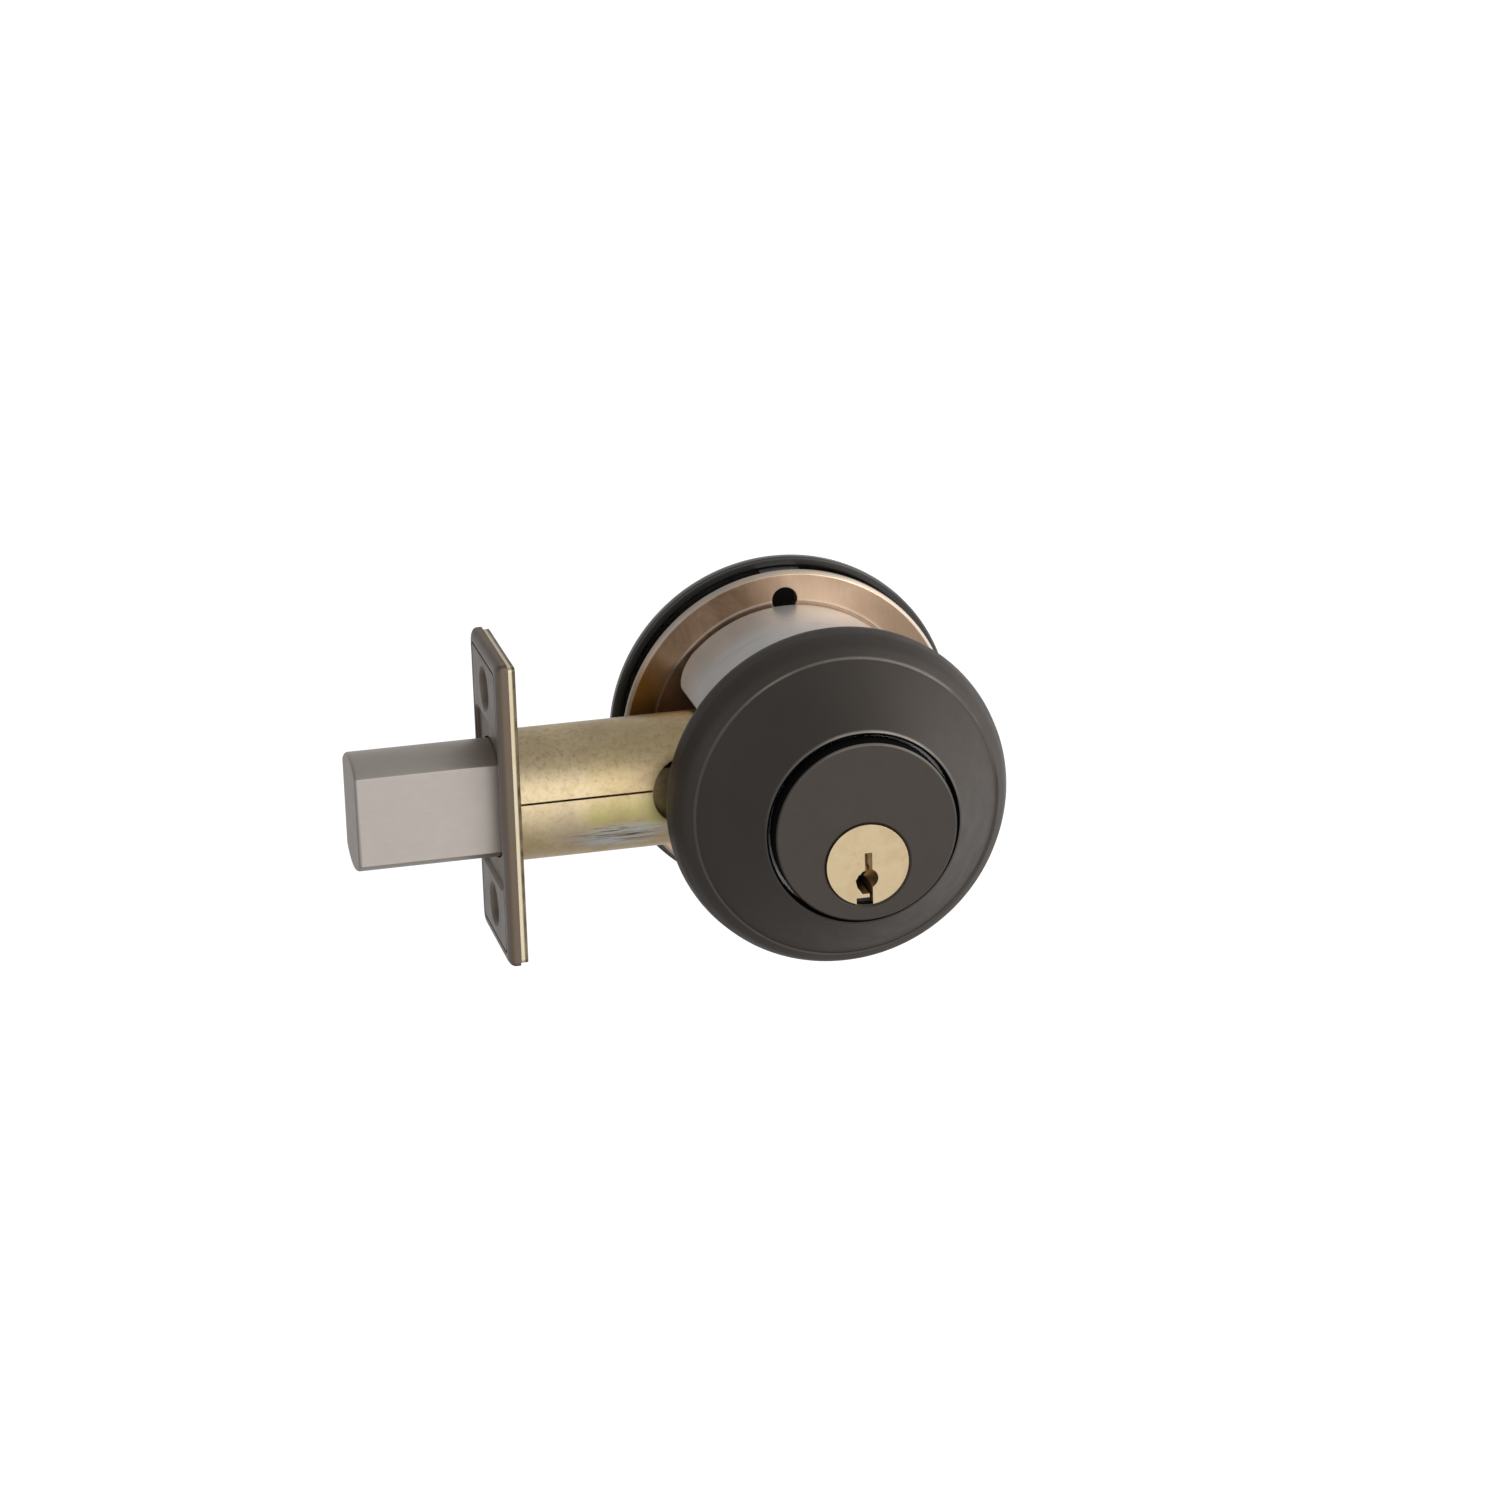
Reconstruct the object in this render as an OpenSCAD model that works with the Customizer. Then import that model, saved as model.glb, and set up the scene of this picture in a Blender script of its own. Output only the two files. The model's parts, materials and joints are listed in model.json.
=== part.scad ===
// Tubular deadbolt lock, single cylinder, assembled as it sits in a door.
// Frame: the origin is the centre of the cross bore, half way through the door.
// -Y faces the outside (key side), +Y the inside (thumbturn), -X the door's edge, +Z is up.
// The bolt is drawn thrown.  Lengths are in millimetres.

/* [Door] */
// Thickness of the door between the collar and the mounting plate
door_t = 35; // [35:0.5:45]
// Distance from the door's edge to the centre of the cross bore
backset = 60.3; // [60.3:0.1:70]

/* [Bolt] */
// Distance the bolt slides out of the faceplate
bolt_throw = 25.4; // [22:0.1:25.4]
// Radius of the round stock that the bolt is milled from
bolt_r = 10.85; // [10.4:0.05:10.85]
// Thickness of the bolt across its two flats
bolt_thick = 14; // [12:0.5:15]

/* [Faceplate] */
// Width of the faceplate across the door's edge
plate_w = 25.4; // [25.4:0.1:28.5]
// Height of the faceplate
plate_h = 57.15; // [57:0.05:60]
// Thickness of the outer trim plate
trim_t = 2.2; // [1.8:0.1:2.4]
// Thickness of the backing plate
backing_t = 1.4; // [1:0.1:1.5]
// Distance between the two screw holes
screw_pitch = 41.3; // [40:0.1:42]
// Radius of each screw hole
screw_hole_r = 2.6; // [2.2:0.1:2.8]

/* [Latch tube] */
// Outer radius of the tube
tube_r = 12; // [12:0.1:12.6]
// Wall of the tube
tube_wall = 1; // [0.8:0.1:1]

/* [Collar] */
// Radius of the collar where it meets the door
collar_base_r = 31.4; // [30:0.1:34]
// Radius of the collar at its front edge line
collar_edge_r = 27.7; // [27.2:0.1:28]
// Depth of the collar from the door to its front rim
collar_depth = 19.9; // [19.4:0.1:20.4]

/* [Cylinder] */
// Radius of the cylinder's visible face
face_r = 16.7; // [16:0.1:16.8]
// Radius of the key plug's front flange
plug_flange_r = 7.5; // [7:0.1:7.8]
// Radius of the key plug
plug_r = 6.35; // [6.2:0.05:6.4]
// Distance of the key plug's axis below the centre of the lock
plug_drop = 6.1; // [5.9:0.1:6.1]
// Number of pin stacks
pin_count = 5; // [3:1:5]

/* [Inside trim] */
// Radius of the mounting plate
mount_r = 31.5; // [31:0.1:32]
// Radius of the inside rose
rose_r = 32.8; // [32.8:0.1:34]
// Length of the thumbturn's grip
grip_len = 34; // [28:1:40]

/* [Hidden] */
$fn = 96;
eps = 0.01;

// Faces of the door, and the axis that the plug, tailpiece, hub and thumbturn share
out_y = -door_t / 2;
in_y = door_t / 2;
turn_z = -plug_drop;

// Running clearance of a shaft, and slack of a fixed joint
run_gap = 0.05;
slip = 0.05;

// Latch: places along X
face_x = -backset;
trim_in_x = face_x + trim_t;
tube_x0 = trim_in_x + backing_t;
tube_x1 = -19.5;
bolt_tip_x = face_x - bolt_throw;
bolt_tail_x = -49;
bolt_flat = bolt_thick / 2;
tube_bore_r = tube_r - tube_wall;

// Crank: arm length that turns a quarter turn into the bolt's throw
crank_len = bolt_throw / sqrt(2);
crank_angle = 45;
crank_x = -crank_len * sin(crank_angle);
crank_z = turn_z + crank_len * cos(crank_angle);
crank_pin_r = 1.7;
arm_in = 2;
arm_out = 4;
hub_r = 6;
hub_half = 10.9;

// Drive bar
bar_t = 3;
bar_z0 = 3.2;
bar_z1 = 9.5;
yoke_half = crank_pin_r + 0.75;
prong_w = 2.8;
prong_z = turn_z + crank_len + 1;

// Cage of the hub
cage_in = 8;
cage_t = 1.5;
cage_hole_r = hub_r + run_gap;
cage_low = -15.5;
rivets = [[-13, -12], [13, -12], [14, -3]];

// Tailpiece
tail_t = 2.4;
tail_w = 6;

// Cylinder and housing: places along Y
face_y = out_y - 22.2;
head_y = out_y - 18.5;
body_r = 14.6;
body_end_y = out_y + 2;
boss_r = 19.5;
boss_y = out_y - 16.3;
web_y = out_y + 4.6;
barrel_r = 25.3;
barrel_bore_r = 22.8;
barrel_end_y = in_y - 0.2;
slot_half = 13.2;
slot_round = 7;
guard_x = 8.8;
ring_depth = 12.5;

// Pin stacks
pin_pitch = 3.9;
pin_first = 4.8;
pin_r = 1.4;
chamber_r = 1.45;
shear_z = turn_z + plug_r;
chamber_top = 13;
driver_len = 4.4;
key_pin_len = [9.6, 6.2, 7.1, 5.6, 6.6];

// Screws that clamp the two sides of the lock through the door
bolt_x = 20.6;
bolt_shank_r = 2.05;
cyl_screw = [9.5, 4];

// Inside trim: depths from the door's inner face
mount_t = 2;
rose_front = 5.4;
rose_back = 12.1;
rose_wall = 1.6;
anchor_z = 26.2;
anchor_r = 2.4;
spindle_r = 4.5;
turn_front = rose_back + 0.3;

// Colours
bronze = [0.24, 0.22, 0.21];
face_bronze = [0.33, 0.3, 0.27];
brass = [0.85, 0.68, 0.36];
zinc_gold = [0.66, 0.58, 0.32];
copper_gold = [0.68, 0.5, 0.37];
die_cast = [0.68, 0.67, 0.65];
steel = [0.66, 0.63, 0.6];
black = [0.09, 0.09, 0.09];
nylon = [0.85, 0.84, 0.8];

// ---------- shared shapes ----------

// A round bar along Y
module rod_y(r, y0, y1, x = 0, z = 0) {
    translate([x, y1, z])
        rotate([90, 0, 0])
            cylinder(r = r, h = y1 - y0);
}

// A cone along Y, radius r0 at y0 and r1 at y1
module cone_y(r0, r1, y0, y1, x = 0, z = 0) {
    translate([x, y1, z])
        rotate([90, 0, 0])
            cylinder(r1 = r1, r2 = r0, h = y1 - y0);
}

// A round bar along X
module rod_x(r, x0, x1, y = 0, z = 0) {
    translate([x0, y, z])
        rotate([0, 90, 0])
            cylinder(r = r, h = x1 - x0);
}

// A round bar along Z
module rod_z(r, z0, z1, x = 0, y = 0) {
    translate([x, y, z0])
        cylinder(r = r, h = z1 - z0);
}

// A flat outline in X and Z, given thickness from y0 to y1
module slab_y(y0, y1) {
    translate([0, y1, 0])
        rotate([90, 0, 0])
            linear_extrude(y1 - y0)
                children();
}

// A flat outline in Y and Z, given length from x0 to x1
module slab_x(x0, x1) {
    translate([x0, 0, 0])
        rotate([90, 0, 90])
            linear_extrude(x1 - x0)
                children();
}

// A ring turned about the lock's axis; its outline is (radius, height towards the outside)
module turned_out(y0) {
    translate([0, y0, 0])
        rotate([90, 0, 0])
            rotate_extrude()
                children();
}

// The same, with height counted towards the inside of the room
module turned_in(y0, z = 0) {
    translate([0, y0, z])
        rotate([-90, 0, 0])
            rotate_extrude()
                children();
}

// A box given by two opposite corners
module block(low, high) {
    translate(low)
        cube(high - low);
}

// A sector of a ring, its middle at an angle counted from +Z towards +X
module ring_sector(r0, r1, mid, width) {
    reach = 2 * r1;
    half = width / 2;
    intersection() {
        difference() {
            circle(r = r1);
            circle(r = r0);
        }
        polygon([
            [0, 0],
            [reach * sin(mid - half), reach * cos(mid - half)],
            [reach * sin(mid + half), reach * cos(mid + half)]
        ]);
    }
}

// An open spring ring with a gap at the bottom
module open_ring(r0, r1, gap) {
    difference() {
        circle(r = r1);
        circle(r = r0);
        translate([-gap / 2, -r1 - 1])
            square([gap, r1 + 1]);
    }
}

// The bolt's section in Y and Z: round stock with two flats
module bolt_section(grow = 0) {
    intersection() {
        circle(r = bolt_r + grow);
        square([bolt_thick + 2 * grow, 3 * bolt_r], center = true);
    }
}

// Places of the pin stacks along Y
function pin_y(i) = face_y + pin_first + i * pin_pitch;

// ---------- outside trim and cylinder ----------

// Tapered ring that spins freely on the housing, so that a wrench can't grip it
module collar() {
    color(bronze)
        difference() {
            turned_out(out_y)
                polygon([
                    [26, 0], [collar_base_r, 0], [collar_base_r, 1], [collar_base_r - 0.8, 4],
                    [collar_edge_r + 1.3, 7], [collar_edge_r, 8.5],
                    [18, collar_depth - 0.1], [17.7, collar_depth], [17.25, collar_depth - 0.2],
                    [17.25, 16.6], [boss_r + run_gap, 16.6],
                    [boss_r + run_gap, 9], [23.5, 7.5], [26, 5]
                ]);
            rod_y(boss_r + 1.4, out_y - ring_depth - 0.6, out_y - ring_depth + 0.6);
        }
}

// Spring ring that keeps the collar on the housing
module collar_snap_ring() {
    color(steel)
        slab_y(out_y - ring_depth - 0.45, out_y - ring_depth + 0.45)
            open_ring(boss_r - 0.45, boss_r + 1, 5);
}

// Opening in the side of the housing's barrel that the latch tube passes through
module tube_slot() {
    rear = barrel_end_y + 1;
    slab_x(-barrel_r - 1, -8) {
        circle(r = slot_half);
        translate([0, -slot_half])
            square([rear, 2 * slot_half]);
        for (side = [-1, 1])
            difference() {
                translate([barrel_end_y - slot_round, side * slot_half - slot_round])
                    square([slot_round + 1, 2 * slot_round]);
                translate([barrel_end_y - slot_round, side * (slot_half + slot_round)])
                    circle(r = slot_round);
            }
    }
}

// Die-cast housing: front boss for the cylinder, web, and barrel that fills the cross bore
module cylinder_housing() {
    thread_end = out_y - 2.5;
    color(die_cast)
        difference() {
            union() {
                rod_y(boss_r, boss_y, web_y);
                rod_y(barrel_r, out_y, barrel_end_y - 0.5);
                cone_y(barrel_r, barrel_r - 0.5, barrel_end_y - 0.5 - eps, barrel_end_y);
                for (side = [-1, 1])
                    rod_y(4, out_y - 4, out_y + 1, x = side * bolt_x);
            }
            rod_y(barrel_bore_r, web_y, barrel_end_y + 1);
            rod_y(body_r + slip, boss_y - 1, body_end_y);
            rod_y(plug_flange_r + 0.3, body_end_y - 1, web_y + 1, z = turn_z);
            for (side = [-1, 1]) {
                rod_y(1.8, body_end_y - 1, web_y + 1, x = side * cyl_screw[0], z = cyl_screw[1]);
                rod_y(bolt_shank_r + slip, thread_end, web_y + 1, x = side * bolt_x);
            }
            tube_slot();
            slab_y(out_y - ring_depth - 0.55, out_y - ring_depth + 0.55)
                difference() {
                    circle(r = boss_r + 1);
                    circle(r = boss_r - 0.6);
                }
        }
}

// Cylinder: large dark face, bore for the key plug below centre, and chambers above it
module cylinder_body() {
    color(bronze)
        difference() {
            union() {
                cone_y(face_r - 0.45, face_r, face_y, face_y + 0.45);
                rod_y(face_r, face_y + 0.45, head_y);
                rod_y(body_r, head_y - eps, body_end_y);
            }
            rod_y(plug_r + run_gap, face_y - 1, body_end_y + 1, z = turn_z);
            rod_y(plug_flange_r + run_gap, face_y - 1, face_y + 1.75, z = turn_z);
            cone_y(plug_flange_r + 0.55, plug_flange_r + run_gap, face_y - eps, face_y + 0.45,
                   z = turn_z);
            for (i = [0 : pin_count - 1])
                rod_z(chamber_r, turn_z, chamber_top + 1, y = pin_y(i));
            block([-2.1, head_y + 0.6, chamber_top], [2.1, out_y - 0.9, body_r + 1]);
            for (side = [-1, 1]) {
                rod_y(1.5, out_y - 6, body_end_y + 1, x = side * cyl_screw[0], z = cyl_screw[1]);
                rod_z(1.05, -body_r, 0, x = side * guard_x, y = out_y - 16.5);
            }
        }
}

// Key slot of the plug, seen from outside: a narrow slot with wards on both sides
module keyway() {
    low = -plug_flange_r - 1;
    neck = -5.4;
    translate([0, turn_z]) {
        translate([-0.55, neck])
            square([1.35, 2.2 - neck]);
        polygon([[-0.5, -1.5], [-1.7, -1.8], [-2.3, -2.8], [-2, -4.1], [-1.1, neck], [-0.5, neck]]);
        translate([0.2, low])
            square([0.6, neck + eps - low]);
        translate([-2.2, low])
            square([3, -6.1 - low]);
    }
}

// Key plug with its front flange, key slot and the lower halves of the pin chambers;
// the slot is bored out round as far as the first pin
module key_plug() {
    color(brass)
        difference() {
            union() {
                rod_y(plug_r, face_y, out_y + 2.1, z = turn_z);
                rod_y(plug_flange_r, face_y, face_y + 1.65, z = turn_z);
            }
            slab_y(face_y - 1, out_y + 3)
                keyway();
            rod_y(1.75, face_y - 1, pin_y(0) + pin_r, x = 0.1, z = turn_z - 2.6);
            for (i = [0 : pin_count - 1])
                rod_z(chamber_r, shear_z - key_pin_len[i] - 0.5, shear_z + 1, y = pin_y(i));
            for (side = [-1, 1])
                rod_y(0.85, out_y - 3, out_y + 3, x = side * 4.2, z = turn_z);
        }
}

// Key pins, lifted to the shear line as the right key lifts them
module key_pins() {
    tip = 0.9;
    color(steel)
        for (i = [0 : pin_count - 1]) {
            top = shear_z - 0.12;
            rod_z(pin_r, top - key_pin_len[i] + tip, top, y = pin_y(i));
            translate([0, pin_y(i), top - key_pin_len[i]])
                cylinder(r1 = 0.5, r2 = pin_r, h = tip + eps);
        }
}

// Driver pins above the shear line
module driver_pins() {
    color(steel)
        for (i = [0 : pin_count - 1])
            rod_z(pin_r, shear_z + 0.12, shear_z + 0.12 + driver_len, y = pin_y(i));
}

// Point of a coil's tube: step s along the coil, corner c around the wire
function coil_point(s, c, steps, corners, r, wire, pitch) =
    let (turn = 360 * s / steps, round = 360 * c / corners, reach = r + wire * cos(round))
    [reach * cos(turn), reach * sin(turn), pitch * s / steps + wire * sin(round)];

// Coil spring standing on Z
module coil(r, wire, pitch, turns, steps = 12, corners = 6) {
    last = turns * steps;
    points = [
        for (s = [0 : last], c = [0 : corners - 1])
            coil_point(s, c, steps, corners, r, wire, pitch)
    ];
    sides = [
        for (s = [0 : last - 1], c = [0 : corners - 1])
            let (a = s * corners + c, b = s * corners + (c + 1) % corners)
                [a, b, b + corners, a + corners]
    ];
    start_cap = [for (c = [corners - 1 : -1 : 0]) c];
    end_cap = [for (c = [0 : corners - 1]) last * corners + c];
    polyhedron(points, concat([start_cap], sides, [end_cap]), convexity = 6);
}

// Springs that push the driver pins down
module pin_springs() {
    wire = 0.18;
    low = shear_z + driver_len + 0.4;
    turns = 6;
    pitch = (chamber_top - low - 0.3) / turns;
    color(steel)
        for (i = [0 : pin_count - 1])
            translate([0, pin_y(i), low])
                coil(1.1, wire, pitch, turns);
}

// Strip that closes the pin chambers
module pin_cover_strip() {
    color(brass)
        intersection() {
            block([-2.05, head_y + 0.65, chamber_top + 0.05], [2.05, out_y - 0.95, body_r]);
            rod_y(body_r, head_y, body_end_y);
        }
}

// Hardened pins either side of the plug, against drilling
module drill_guard_pins() {
    color(steel)
        for (side = [-1, 1])
            rod_z(1, -10.5, -0.5, x = side * guard_x, y = out_y - 16.5);
}

// Cap on the plug's rear end: it holds the plug in, and its lug drives the tailpiece
module plug_retainer_cap() {
    color(steel)
        difference() {
            union() {
                rod_y(7.3, out_y + 2.1, out_y + 3.5, z = turn_z);
                translate([0, 0, turn_z])
                    slab_y(out_y + 3.5 - eps, out_y + 5.1)
                        ring_sector(3.2, 6.8, 180, 40);
            }
            for (side = [-1, 1]) {
                rod_y(0.9, out_y + 2, out_y + 4, x = side * 4.2, z = turn_z);
                cone_y(0.9, 1.75, out_y + 2.65, out_y + 3.5 + eps, x = side * 4.2, z = turn_z);
            }
        }
}

// Flat-head screws that hold the cap on the plug
module retainer_cap_screws() {
    color(steel)
        for (side = [-1, 1])
            difference() {
                union() {
                    rod_y(0.8, out_y - 2.5, out_y + 3.4, x = side * 4.2, z = turn_z);
                    cone_y(0.8, 1.6, out_y + 2.7, out_y + 3.5, x = side * 4.2, z = turn_z);
                }
                translate([side * 4.2, out_y + 3.5, turn_z])
                    cube([0.4, 0.6, 4], center = true);
            }
}

// Screws from the housing's web into the back of the cylinder
module cylinder_screws() {
    color(steel)
        for (side = [-1, 1]) {
            rod_y(1.45, out_y - 5, web_y + 0.1, x = side * cyl_screw[0], z = cyl_screw[1]);
            difference() {
                rod_y(2.8, web_y, web_y + 1.8, x = side * cyl_screw[0], z = cyl_screw[1]);
                translate([side * cyl_screw[0], web_y + 1.8, cyl_screw[1]])
                    cube([0.8, 1.4, 7], center = true);
            }
        }
}

// Flat bar that carries the turn from the plug through the hub to the thumbturn
module tailpiece() {
    color(steel)
        translate([0, 0, turn_z]) {
            slab_y(out_y + 5.2, out_y + 6.1)
                circle(r = 6.8);
            slab_y(out_y + 3.6, out_y + 5.2 + eps)
                ring_sector(3.2, 6.8, -45, 40);
            slab_y(out_y + 6, in_y + 5)
                square([tail_t, tail_w], center = true);
        }
}

// ---------- latch ----------

// Outer trim plate on the door's edge, sunk around the opening that the bolt leaves through
module faceplate() {
    sunk = 0.7;
    lip = 1.4;
    color(face_bronze)
        difference() {
            slab_x(face_x, trim_in_x)
                difference() {
                    square([plate_w, plate_h], center = true);
                    bolt_section(0.3);
                }
            slab_x(face_x - 1, face_x + sunk)
                square([plate_w - 2 * lip, 30.6], center = true);
            for (side = [-1, 1]) {
                rod_x(screw_hole_r, face_x - 1, trim_in_x + 1, z = side * screw_pitch / 2);
                translate([face_x - eps, 0, side * screw_pitch / 2])
                    rotate([0, 90, 0])
                        cylinder(r1 = 4.3, r2 = screw_hole_r, h = trim_t - 0.4);
            }
        }
}

// Inner plate that carries the tube
module backing_plate() {
    color(zinc_gold)
        difference() {
            slab_x(trim_in_x, tube_x0)
                difference() {
                    square([plate_w - 0.4, plate_h - 1], center = true);
                    bolt_section(0.1);
                }
            for (side = [-1, 1])
                rod_x(screw_hole_r, trim_in_x - 1, tube_x0 + 1, z = side * screw_pitch / 2);
        }
}

// Rolled tube that fills the bore in the door's edge: open seam, end notched for the through bolt
module latch_tube() {
    notch_r = 6;
    notch_x = -26.4;
    notch_z = 1;
    seam_z = 1.8;
    color(zinc_gold)
        difference() {
            rod_x(tube_r, tube_x0, tube_x1);
            rod_x(tube_bore_r, tube_x0 - 1, tube_x1 + 1);
            rod_y(notch_r, -tube_r - 1, tube_r + 1, x = notch_x, z = notch_z);
            block([notch_x, -tube_r - 1, notch_z - notch_r],
                  [tube_x1 + 1, tube_r + 1, notch_z + notch_r]);
            block([tube_x0 - 1, -tube_r - 1, seam_z], [notch_x, -8, seam_z + 0.35]);
        }
}

// Two cheeks in the mouth of the tube that bear on the bolt's flats
module guide_cheeks() {
    color(black)
        slab_x(tube_x0 + slip, tube_x0 + 4.2)
            difference() {
                circle(r = tube_bore_r - slip);
                square([bolt_thick + 0.2, 2 * tube_bore_r], center = true);
            }
}

// Bolt: round stock with two flats, bevelled end, slot and bore at the rear
module bolt() {
    bevel = 0.8;
    color(steel)
        difference() {
            intersection() {
                slab_x(bolt_tip_x, bolt_tail_x)
                    bolt_section();
                translate([bolt_tip_x, 0, 0])
                    rotate([0, 90, 0])
                        rotate_extrude()
                            polygon([[0, 0], [bolt_r - bevel, 0], [bolt_r, bevel],
                                     [bolt_r, bolt_tail_x - bolt_tip_x],
                                     [0, bolt_tail_x - bolt_tip_x]]);
                slab_y(-bolt_flat, bolt_flat)
                    translate([bolt_tip_x, -bolt_r])
                        square([bolt_tail_x - bolt_tip_x, 2 * bolt_r]);
            }
            block([-56, -bar_t / 2 - slip, -6.1], [bolt_tail_x + 1, bar_t / 2 + slip, 8.1]);
            rod_x(3.1, bolt_tip_x + 4, -55, z = 0);
            for (z = [-3.5, 5])
                rod_y(1.5 + slip, -bolt_r, bolt_r, x = -52.3, z = z);
        }
}

// Hardened pin inside the bolt that turns under a saw blade
module bolt_roller_pin() {
    color(steel)
        rod_x(3, bolt_tip_x + 4.3, -56.2);
}

// Flat bar that pulls the bolt; the crank pin runs in its open yoke
module drive_bar() {
    tail_x0 = crank_x - yoke_half - prong_w;
    tail_x1 = crank_x + yoke_half + prong_w;
    color(steel)
        difference() {
            slab_y(-bar_t / 2, bar_t / 2) {
                translate([-55.8, -6])
                    square([55.8 + bolt_tail_x + 0.6, 14]);
                translate([bolt_tail_x + 0.1, bar_z0])
                    square([tail_x1 - bolt_tail_x - 0.1, bar_z1 - bar_z0]);
                translate([tail_x0, bar_z0])
                    square([tail_x1 - tail_x0, prong_z - bar_z0]);
            }
            slab_y(-bar_t, bar_t)
                translate([crank_x - yoke_half, crank_z - crank_pin_r - 0.5])
                    square([2 * yoke_half, 20]);
            for (z = [-3.5, 5])
                rod_y(1.5 + slip, -bar_t, bar_t, x = -52.3, z = z);
        }
}

// Rivets between the bolt and the drive bar
module drive_bar_rivets() {
    color(steel)
        for (z = [-3.5, 5])
            rod_y(1.5, 0.05 - bolt_flat, bolt_flat - 0.05, x = -52.3, z = z);
}

// Outline of one arm of the hub, pointing at the crank pin
module hub_arm() {
    translate([0, turn_z]) {
        circle(r = hub_r);
        rotate(crank_angle)
            translate([-2.8, 0])
                square([5.6, crank_len]);
    }
    translate([crank_x, crank_z])
        circle(r = 3.1);
}

// Hub: a sleeve that the tailpiece turns, with two arms for the crank pin
module hub() {
    color(zinc_gold)
        difference() {
            union() {
                rod_y(hub_r, -hub_half, hub_half, z = turn_z);
                for (side = [0, 1])
                    mirror([0, side, 0])
                        slab_y(arm_in, arm_out)
                            hub_arm();
            }
            slab_y(-hub_half - 1, hub_half + 1)
                translate([0, turn_z])
                    square([tail_t + 2 * slip, tail_w + 2 * slip], center = true);
            rod_y(crank_pin_r + slip, -arm_out - 1, arm_out + 1, x = crank_x, z = crank_z);
        }
}

// Pin across the hub's arms that drives the yoke
module crank_pin() {
    color(steel)
        rod_y(crank_pin_r, -arm_out, arm_out, x = crank_x, z = crank_z);
}

// Side plate of the hub's cage; its tongue is staked in the tube
module cage_plate(y0, y1) {
    color(zinc_gold)
        difference() {
            slab_y(y0, y1)
                polygon([
                    [-40, -5.3], [-19.3, -5.3], [-16, cage_low], [12.5, cage_low],
                    [17, -9], [17, 5], [13, 8], [-16, 8], [-19.3, 5.3], [-40, 5.3]
                ]);
            rod_y(cage_hole_r, y0 - 1, y1 + 1, z = turn_z);
            rod_y(2.6, y0 - 1, y1 + 1, x = -bolt_x);
            for (at = rivets)
                rod_y(1.25 + slip, y0 - 1, y1 + 1, x = at[0], z = at[1]);
            for (side = [-1, 1])
                block([side * 9 - 1.05, y0 - 1, -14.35], [side * 9 + 1.05, y1 + 1, -13.65]);
        }
}

module cage_plate_front() {
    cage_plate(-cage_in - cage_t, -cage_in);
}

module cage_plate_rear() {
    cage_plate(cage_in, cage_in + cage_t);
}

// Shouldered rivets that space the two side plates
module cage_rivets() {
    color(steel)
        for (at = rivets) {
            rod_y(1.9, -cage_in + slip, cage_in - slip, x = at[0], z = at[1]);
            rod_y(1.25, -cage_in - cage_t - 0.1, cage_in + cage_t + 0.1, x = at[0], z = at[1]);
            for (side = [0, 1])
                mirror([0, side, 0])
                    rod_y(1.9, cage_in + cage_t + slip, cage_in + cage_t + 0.6,
                          x = at[0], z = at[1]);
        }
}

// Leaf spring under the hub that holds it at each end of its turn
module detent_spring() {
    low = -14.3;
    thick = 0.6;
    crest = turn_z - hub_r - 0.25;
    color(steel) {
        slab_y(-1.5, 1.5)
            polygon([
                [-10, low], [-4, low], [-1, crest - thick], [1, crest - thick], [4, low],
                [10, low], [10, low + thick], [3.7, low + thick], [0.8, crest],
                [-0.8, crest], [-3.7, low + thick], [-10, low + thick]
            ]);
        for (side = [-1, 1])
            block([side * 9 - 1, -cage_in - cage_t, low],
                  [side * 9 + 1, cage_in + cage_t, low + thick]);
    }
}

// ---------- inside trim ----------

// Plate that clamps the inside of the door; it is relieved behind the housing's barrel
module mounting_plate() {
    relief = 0.3;
    color(copper_gold)
        difference() {
            turned_in(in_y)
                polygon([[0, relief], [barrel_r + 0.5, relief], [barrel_r + 0.5, 0],
                         [mount_r - 0.5, 0], [mount_r, 0.5], [mount_r, mount_t - 0.4],
                         [mount_r - 0.4, mount_t], [0, mount_t]]);
            rod_y(7, in_y - 1, in_y + mount_t + 1, z = turn_z);
            for (side = [-1, 1]) {
                rod_y(bolt_shank_r + 0.2, in_y - 1, in_y + mount_t + 1, x = side * bolt_x);
                rod_y(anchor_r, in_y - 1, in_y + mount_t + 1, z = side * anchor_z);
            }
        }
}

// The two screws that clamp the mounting plate to the housing
module through_bolts() {
    head_y0 = in_y + mount_t;
    color(steel)
        for (side = [-1, 1])
            difference() {
                union() {
                    rod_y(bolt_shank_r, out_y - 2, head_y0 + 0.1, x = side * bolt_x);
                    rod_y(3.8, head_y0, head_y0 + 1.6, x = side * bolt_x);
                    cone_y(3.8, 2.6, head_y0 + 1.6 - eps, head_y0 + 2.6, x = side * bolt_x);
                }
                for (turn = [0, 90])
                    translate([side * bolt_x, head_y0 + 2.6, 0])
                        rotate([0, turn, 0])
                            cube([0.9, 2.4, 4], center = true);
            }
}

// Cover on the inside of the door
module rose() {
    rim = rose_r - rose_wall;
    color(black)
        difference() {
            turned_in(in_y)
                polygon([
                    [rim, rose_front], [rose_r - 0.3, rose_front], [rose_r, rose_front + 0.4],
                    [rose_r, 7.6], [rose_r - 0.8, 9.4], [rose_r - 2.4, 11], [rose_r - 5, rose_back],
                    [0, rose_back], [0, rose_back - rose_wall],
                    [rose_r - 5.6, rose_back - rose_wall], [rim - 1.8, 9.4], [rim, 7.4]
                ]);
            rod_y(6.5, in_y, in_y + rose_back + 1, z = turn_z);
        }
}

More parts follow.
